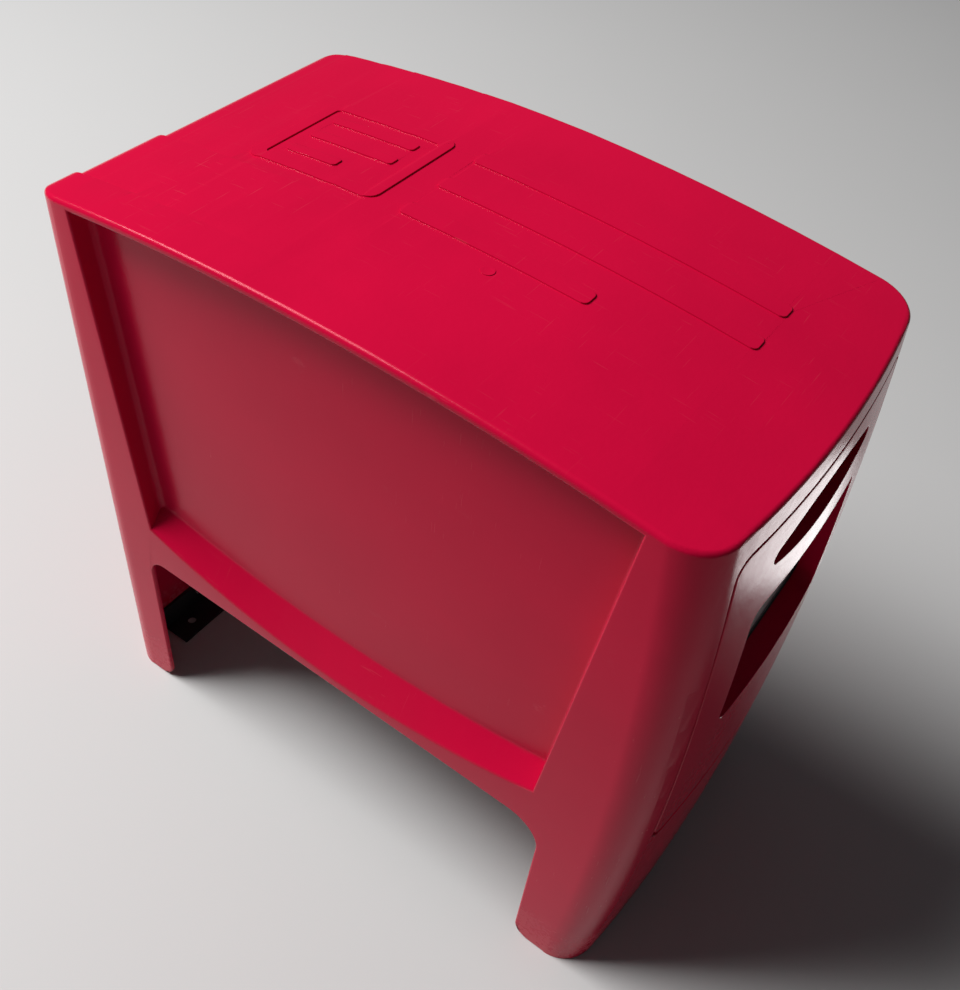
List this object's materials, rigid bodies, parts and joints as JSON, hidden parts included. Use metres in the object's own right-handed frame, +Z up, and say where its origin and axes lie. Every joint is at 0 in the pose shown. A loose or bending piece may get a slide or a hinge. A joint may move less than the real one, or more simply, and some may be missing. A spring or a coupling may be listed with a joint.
{
  "type": "newspaper vending box",
  "caption": "Free-standing moulded newspaper box with an arched top, recessed sides, open arches between full-width end panels and a drop-down door with a window and a grip.",
  "frame": {"origin": "on the ground under the centre of the object's bounding box", "axes": "+Z up, -Y towards the door, X across the width"},
  "size_m": [0.4, 0.72, 0.7285],
  "materials": {
    "black_steel": "black powder coat",
    "zinc": "zinc plated",
    "red_shell": "glossy moulded polyethylene",
    "magnet": "ferrite block",
    "card": "matte card",
    "frame_black": "fine texture",
    "red_door": "glossy moulded polyethylene",
    "soft_black": "matte",
    "spring_steel": "oiled steel",
    "galvanised": "galvanised sheet",
    "grip_black": "textured dark moulding",
    "clear": "clear acrylic sheet"
  },
  "bodies": {
    "box": {"anchor_front": "black_steel", "anchor_rear": "black_steel", "anchor_screws": "zinc", "body_shell": "red_shell", "bracket_screws": "zinc", "catch_magnet": "magnet", "door_frame": "frame_black", "door_seal": "soft_black", "door_spring_left": "spring_steel", "door_spring_right": "spring_steel", "floor_pan": "galvanised", "frame_screws": "zinc", "hinge_bracket_left": "zinc", "hinge_bracket_right": "zinc", "hinge_pin_left": "spring_steel", "hinge_pin_right": "spring_steel", "pan_rail_left": "galvanised", "pan_rail_right": "galvanised", "pan_screws": "zinc", "paper_stop": "galvanised", "rail_screws": "zinc", "stop_screws": "zinc"},
    "door": {"catch_strike": "zinc", "display_card": "card", "door_panel": "red_door", "grip_cup": "grip_black", "retainer_screws": "zinc", "window_gasket": "soft_black", "window_lens": "clear", "window_retainer": "frame_black"}
  },
  "joints": [
    {"name": "door_hinge", "type": "hinge", "parent": "box", "child": "door", "pos_m": [0, -0.338, 0.296], "axis": [1, 0, 0], "range_deg": [0, 82], "stiffness_Nm_per_rad": 1.6, "springref_deg": -34.38}
  ]
}
